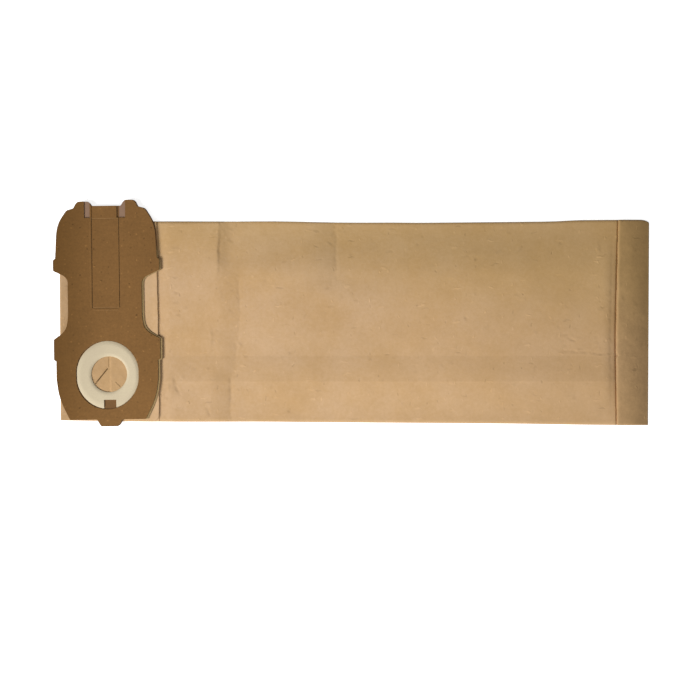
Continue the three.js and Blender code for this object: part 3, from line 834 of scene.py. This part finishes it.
def board(node, name, adjust):
    """A die-cut board from its solid, with the soft edge that a die leaves."""
    shell = bmesh.new()
    shell.from_mesh(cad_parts[node].data)
    bmesh.ops.remove_doubles(shell, verts=shell.verts, dist=1e-6)
    bmesh.ops.dissolve_limit(shell, angle_limit=math.radians(0.6), verts=shell.verts, edges=shell.edges)
    mesh = bpy.data.meshes.new(name)
    shell.to_mesh(mesh)
    shell.free()
    made = place_in_scene(name, mesh)
    bevel = made.modifiers.new("die_edge", "BEVEL")
    bevel.width, bevel.segments = 0.00014, 2
    bevel.limit_method, bevel.angle_limit = "ANGLE", math.radians(50)
    bevel.use_clamp_overlap = False
    settle(made)
    flat = np.empty(len(made.data.vertices) * 3)
    made.data.vertices.foreach_get("co", flat)
    place = frame_to_collar(flat.reshape(-1, 3))
    adjust(place)
    made.data.vertices.foreach_set("co", collar_to_frame(place).ravel())
    made.data.update()
    return made


def front_board():
    """The visible board, with beads beside its lower crease and left kerf and a score in its grip."""
    made = board("front_card", "front_board", move_kerfs)
    score = collar_block("score", (-11.95, GRIP_FOOT, CARD_TOP - 0.8), (-11.4, COLLAR_TOP, CARD_TOP + 1))
    cut_away(made, score)
    join(made, bead((TONGUE_LEFT, TONGUE_FOOT_BEAD), (TONGUE_RIGHT, TONGUE_FOOT_BEAD), 0.9, 0.24),
         bead((-12.8, 57), (-12.8, 129.5), 0.7, 0.14))
    return made


def window_reach(angle):
    """From the opening's centre to the ring's outer edge, in each direction."""
    c, s = np.cos(angle), np.sin(angle)
    radius = WINDOW_RADIUS - (FIT_LEFT + FIT_RIGHT) / 2 + (FIT_LEFT - FIT_RIGHT) / 2 * c

    def to_circle(height):
        px, py = OPENING_SHIFT, -height
        half = px * c + py * s
        return -half + np.sqrt(half**2 - (px * px + py * py - radius**2))

    upper, lower = to_circle(WINDOW_UPPER), to_circle(-WINDOW_LOWER)
    side = np.where(c > 0, radius - OPENING_SHIFT, radius + OPENING_SHIFT) / np.maximum(np.abs(c), 1e-6)
    reach = np.where(upper * s >= WINDOW_UPPER, upper, np.where(lower * s <= -WINDOW_LOWER, lower, side))
    return reach * (1 - 0.014 * np.sin(2 * angle) ** 2)


def soft_ring():
    """The sealing ring: one section carried round from the round opening to the window."""
    angles = np.linspace(0, 2 * math.pi, 256, endpoint=False)
    share = np.concatenate(([0, 0.015, 0.04], np.linspace(0.07, RING_ROLL_FROM, 9),
                            np.linspace(RING_ROLL_FROM + 0.04, 1, 12)))
    inner_drop = (RING_THICKNESS - RING_INNER_EDGE) * np.maximum(0, 1 - share / RING_INNER_ROUND) ** 2
    roll = np.maximum(0, (share - RING_ROLL_FROM) / (1 - RING_ROLL_FROM)) ** 2
    height = RING_THICKNESS - inner_drop - (RING_THICKNESS - RING_OUTER_EDGE) * roll
    rings = []
    for angle, reach in zip(angles, window_reach(angles)):
        soft = 0.03 * math.sin(3 * angle + 1) + 0.02 * math.sin(7 * angle)
        r = np.concatenate(((reach, OPENING_RADIUS), OPENING_RADIUS + (reach - OPENING_RADIUS) * share))
        z = np.concatenate(((0, 0), height + soft * np.sin(np.pi * share)))
        rings.append(points_at(OPENING_SHIFT + r * math.cos(angle), r * math.sin(angle), z))
    points = np.array(rings) + (0, 0, PRESSED + CARD)
    made = mesh_object("soft_ring", collar_to_frame(points), loop_faces(len(rings), points.shape[1]))
    foot = -WINDOW_RADIUS - WINDOW_LOWER
    low = (NOTCH_SHIFT - NOTCH_WIDTH / 2, foot - 1, PRESSED)
    high = (NOTCH_SHIFT + NOTCH_WIDTH / 2, foot + NOTCH_DEPTH, PRESSED + CARD + 3)
    cut_away(made, collar_block("notch", low, high))
    soften(made, 35)
    return made


# Finishes: their patterns are in millimetres in the shared frame


def finish(name, specular):
    """A new material: its node sheet, its shader and the place on the piece in millimetres."""
    material = bpy.data.materials.new(name)
    sheet = empty_sheet(material)
    shader = sheet.node("ShaderNodeBsdfPrincipled", {}, {"Specular IOR Level": specular})
    sheet.node("ShaderNodeOutputMaterial", {}, {"Surface": sheet.wire(shader, "BSDF")})
    place = sheet.wire(sheet.node("ShaderNodeTexCoord"), "Object")
    return material, sheet, shader, sheet.vector("MULTIPLY", place, (1000, 1000, 1000))


def tinted(sheet, dark, light, amount):
    """Between two colours by a number from 0 to 1."""
    dark, light = (colour if isinstance(colour, Wire) else (*colour, 1) for colour in (dark, light))
    made = sheet.node("ShaderNodeMix", {"data_type": "RGBA"}, {"Factor": amount, "A": dark, "B": light})
    return Wire(sheet, next(s for s in made.outputs if s.enabled))


def along_and_across(sheet, place):
    """The place as two numbers, along the bag and across it."""
    split = sheet.node("ShaderNodeSeparateXYZ", {}, {0: place})
    return sheet.wire(split, "X"), sheet.wire(split, "Y")


def cut_edges(sheet):
    """1 on the cut edges of a board and 0 on its flat faces."""
    normal = sheet.wire(sheet.node("ShaderNodeNewGeometry"), "Normal")
    upright = sheet.wire(sheet.node("ShaderNodeSeparateXYZ", {}, {0: normal}), "Z")
    return 1 - sheet.step(abs(upright), 0.45, 0.95)


def swayed(sheet, place, reach, seed):
    """The place, pushed about by up to the reach, so that a pattern on it is less regular."""
    push = [sheet.noise(place, 0.12, 2.0, 0.5, seed + k) * reach for k in (0.0, 3.0)]
    pushed = sheet.node("ShaderNodeCombineXYZ", {}, dict(enumerate(push)))
    return sheet.vector("ADD", place, sheet.wire(pushed))


def dress(sheet, shader, colour, level, roughness, relief, distance, strength):
    """Gives a finish its colour at a level of lightness, its roughness and its fine relief."""
    lit = sheet.node("ShaderNodeVectorMath", {"operation": "SCALE"}, {"Vector": colour, "Scale": level})
    bump = sheet.node("ShaderNodeBump", {}, {"Height": relief, "Distance": distance, "Strength": strength})
    sheet.feed(shader.inputs["Base Color"], sheet.wire(lit))
    sheet.feed(shader.inputs["Roughness"], roughness)
    sheet.feed(shader.inputs["Normal"], sheet.wire(bump))


def kraft_paper():
    """Unbleached paper: clouded and fibrous, with small marks, and painted shade along its creases, over part of
    its near side and towards its folded end.
    """
    material, sheet, shader, place = finish("kraft_paper", 0.12)
    tone, worn = (sheet.wire(sheet.node("ShaderNodeAttribute", {"attribute_name": name}), "Fac")
                  for name in ("tone", "worn"))
    along, across = along_and_across(sheet, place)

    cloud = sheet.noise(place, 0.022, 3.0, 0.55, 1.0)
    blotch = sheet.noise(place, 0.11, 2.0, 0.5, 7.0)
    mottle = sheet.noise(place, 0.42, 4.0, 0.62, 3.0)
    fibre = sheet.noise(sheet.vector("MULTIPLY", place, (0.4, 1.0, 1.0)), 0.9, 3.0, 0.6, 5.0)
    # small light and dark marks: partly fibre and scuff marks in the paper, partly painted light and shade of
    # its tiny wrinkles
    loose = swayed(sheet, place, 4.0, 9.0)
    long_marks = sheet.marks(sheet.vector("MULTIPLY", loose, (0.3, 1.0, 1.0)), 9.0, 0.13)
    short_marks = sheet.marks(sheet.vector("MULTIPLY", loose, (1.0, 0.55, 1.0)), 8.0, 0.12)
    rubbed = 0.05 + 0.1 * (1 - sheet.step(tone, 0.78, 0.92))  # the closing band is the most rubbed
    level = 1 + cloud * 0.045 + blotch * rubbed + mottle * (rubbed + 0.005) + fibre * 0.02
    level = level + long_marks * 0.11 + short_marks * 0.12

    # painted shade: 5% darker over the near side, from the collar to the middle
    near_side_shade = (1 - sheet.step(across, -55, -15)) * sheet.plateau(along, (-200, -150), (-60, 20))
    # lighter along the middle of the bag's far half
    paler_middle = sheet.plateau(along, (-20, 60), (205, 235)) * (1 - sheet.step(abs(across + 10), 20, 75))
    # painted shade: darker along the creases, by how deep each is
    level = level - worn * 0.4 - near_side_shade * 0.05 + paler_middle * 0.045
    # painted shade: darker towards the folded end
    end_shade = 0.62 + 0.33 * sheet.step(along, -268, -190) + 0.05 * sheet.step(along, -190, -40)

    pale = sheet.step(cloud + mottle * 0.6, -0.7, 0.7) * sheet.step(tone, 0.7, 1.0)
    pale = pale * (1.15 - 0.45 * sheet.step(along, -80, 260))
    colour = tinted(sheet, (0.585, 0.365, 0.172), (0.62, 0.41, 0.232), pale)
    stained = tinted(sheet, (1, 1, 1), (0.955, 0.955, 0.83), sheet.step(across + along * 0.16, -8, 80))
    colour = sheet.vector("MULTIPLY", colour, stained)
    dress(sheet, shader, colour, level * tone * end_shade, 0.86 + mottle * 0.06,
          mottle * 0.5 + fibre * 0.3 + (long_marks + short_marks) * 1.5, 0.00015, 0.6)
    return material


def brown_card():
    """The front card: mottled and specked brown, with painted shade towards the folded end, and paler cut edges,
    partly a painted highlight.
    """
    material, sheet, shader, place = finish("brown_card", 0.12)
    along, _ = along_and_across(sheet, place)
    cloud = sheet.noise(place, 0.035, 3.0, 0.55, 11.0)
    mottle = sheet.noise(place, 0.55, 4.0, 0.62, 13.0)
    grain = sheet.noise(sheet.vector("MULTIPLY", place, (0.25, 1.0, 1.0)), 0.7, 3.0, 0.6, 15.0)
    specks = sheet.marks(swayed(sheet, place, 2.0, 17.0), 6.0, 0.16)
    level = 1 + cloud * 0.14 + mottle * 0.25 + grain * 0.12 + specks * 0.5
    # painted shade: darker towards the folded end
    colour = tinted(sheet, (0.120, 0.0565, 0.0132), (0.206, 0.103, 0.0325), sheet.step(along, -262, -200))
    # paler cut edges: partly the card's own paler core, partly a painted highlight along the die-cut edges
    colour = tinted(sheet, colour, (0.42, 0.28, 0.14), cut_edges(sheet) * 0.8)
    dress(sheet, shader, colour, level, 0.80 + mottle * 0.05,
          mottle * 0.6 + grain * 0.4 + specks * 0.5, 0.0001, 0.6)
    return material


def grey_card():
    """The back card: brown, greyer in its ear slots and on its cut edges; along its rim a painted highlight on
    top and painted shade on the cut edges.
    """
    material, sheet, shader, place = finish("grey_card", 0.12)
    along, across = along_and_across(sheet, place)
    mottle = sheet.noise(place, 0.7, 4.0, 0.65, 21.0)
    cloud = sheet.noise(place, 0.05, 2.0, 0.5, 23.0)
    # along the lower right rim: a painted highlight on the top face and painted shade on the cut edges
    rim = sheet.step(along, -184, -181) * (1 - sheet.step(across, 50, 60))
    beside_grip = sheet.plateau(along, (-198.5, -198), (-195, -194.4))
    slots = sheet.step(across, 76, 79) * (1 - beside_grip)
    colour = tinted(sheet, (0.17, 0.088, 0.034), (0.275, 0.172, 0.115), slots)
    colour = tinted(sheet, colour, (0.37, 0.255, 0.115), rim)
    edges = tinted(sheet, (0.36, 0.26, 0.18), (0.12, 0.075, 0.04), rim)
    colour = tinted(sheet, colour, edges, cut_edges(sheet) * 0.9)
    dress(sheet, shader, colour, 1 + cloud * 0.05 + mottle * 0.15, 0.86, mottle, 0.0001, 0.5)
    return material


def soft_seal():
    """The ring: off-white and matt, with painted shade that makes it a little darker towards the folded end."""
    material, sheet, shader, place = finish("soft_seal", 0.2)
    along, _ = along_and_across(sheet, place)
    fine = sheet.noise(place, 1.3, 3.0, 0.6, 31.0)
    cloud = sheet.noise(place, 0.09, 2.0, 0.5, 33.0)
    colour = tinted(sheet, (0.584, 0.488, 0.337), (0.625, 0.531, 0.361), sheet.step(fine + cloud, -0.8, 0.8))
    # painted shade: darker towards the folded end
    end_shade = 0.86 + 0.14 * sheet.step(along, -240, -180)
    dress(sheet, shader, colour, (1 + fine * 0.03) * end_shade, 0.70 + fine * 0.05, fine, 0.00006, 0.5)
    return material


# Stage, light and camera, in metres


def white_table():
    """The floor: white to the camera, with the bag's shadow kept."""
    material = bpy.data.materials.new("white_table")
    sheet = empty_sheet(material)
    matt = sheet.wire(sheet.node("ShaderNodeBsdfDiffuse", {}, {"Color": (0.9, 0.9, 0.9, 1)}))
    seen = sheet.wire(sheet.node("ShaderNodeLightPath"), "Is Camera Ray")
    glow = sheet.wire(sheet.node("ShaderNodeEmission", {}, {"Color": (1, 1, 1, 1), "Strength": seen * 0.8}))
    both = sheet.wire(sheet.node("ShaderNodeAddShader", {}, {0: matt, 1: glow}))
    sheet.node("ShaderNodeOutputMaterial", {}, {"Surface": both})
    size, under = 3.0, -0.0001
    corners = [(-size, -size, under), (size, -size, under), (size, size, under), (-size, size, under)]
    mesh = bpy.data.meshes.new("table_top")
    mesh.from_pydata(corners, [], [(0, 1, 2, 3)])
    mesh.materials.append(material)
    made = place_in_scene("table_top", mesh)


def white_room(level):
    """Plain light from all round, seen as white."""
    world = bpy.data.worlds.new("white_room")
    bpy.context.scene.world = world
    sheet = empty_sheet(world)
    path = sheet.node("ShaderNodeLightPath")
    camera_ray, glossy, through = (
        sheet.wire(path, f"Is {kind} Ray") for kind in ("Camera", "Glossy", "Transmission"))
    seen = sheet.math("MAXIMUM", camera_ray, sheet.math("MAXIMUM", glossy, through))
    strength = level + seen * (1 - level)
    back = sheet.node("ShaderNodeBackground", {}, {"Color": (1, 1, 1, 1), "Strength": strength})
    sheet.node("ShaderNodeOutputWorld", {}, {"Surface": sheet.wire(back)})


def softbox(name, place, target, size, power):
    light = bpy.data.lights.new(name, "AREA")
    light.shape, light.size, light.energy = "DISK", size, power
    made = place_in_scene(name, light)
    made.location = place
    aim = np.array(target) - np.array(place)
    tip, turn = math.acos(-aim[2] / np.linalg.norm(aim)), math.atan2(aim[1], aim[0])
    made.rotation_euler = (tip, 0, turn - math.pi / 2)


def camera():
    """The camera straight above, a little off the middle as in the photograph."""
    lens = bpy.data.cameras.new("camera")
    lens.lens, lens.sensor_width = LENS, SENSOR
    made = place_in_scene("camera", lens)
    made.location = (-0.0008, -0.0281, SEEN_WIDTH * LENS / SENSOR + 0.005)
    bpy.context.scene.camera = made


# Assembly

paper, brown, grey, seal = kraft_paper(), brown_card(), grey_card(), soft_seal()
relief = relief_tree()
paths = crease_paths()

tube, panel, band = paper_tube(), end_panel(), closing_band()
for piece, seed, cockle, crackle in (
    (tube, 3.0, 0.32, 0.06), (panel, 8.0, 0.3, 0.06), (band, 15.0, 0.4, 0.24),
):
    shape_by_tree(piece, relief, creases=paths, seed=seed, finish=paper, cockle_height=cockle,
                  cockle_length=34.0, crackle_height=crackle, crackle_length=6.0)
bpy.data.objects.remove(paths)
for piece in (tube, panel, band):
    soften(piece, 40)

inlet = inlet_paper()
inlet.data.materials.append(paper)
soften(inlet, 50)
back, front, ring = board("back_card", "back_board", show_rim), front_board(), soft_ring()

for piece, node, slot, material in (
    *((piece, "filter_bag", "kraft_paper", paper) for piece in (tube, panel, band, inlet)),
    (back, "back_card", "grey_card", grey), (front, "front_card", "brown_card", brown),
    (ring, "seal_ring", "soft_seal", seal),
):
    piece.data.materials.clear()
    piece.data.materials.append(material)
    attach(piece, "root")
    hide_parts(node)

white_table()
white_room(0.145)
softbox("key_softbox", (-0.90, -0.42, 0.83), (-0.02, -0.01, 0.0), 0.6, 15.6)
softbox("low_fill", (0.14, -0.56, 0.42), (0.04, -0.03, 0.0), 0.45, 1.8)
camera()
bpy.context.scene.view_settings.view_transform = "Standard"
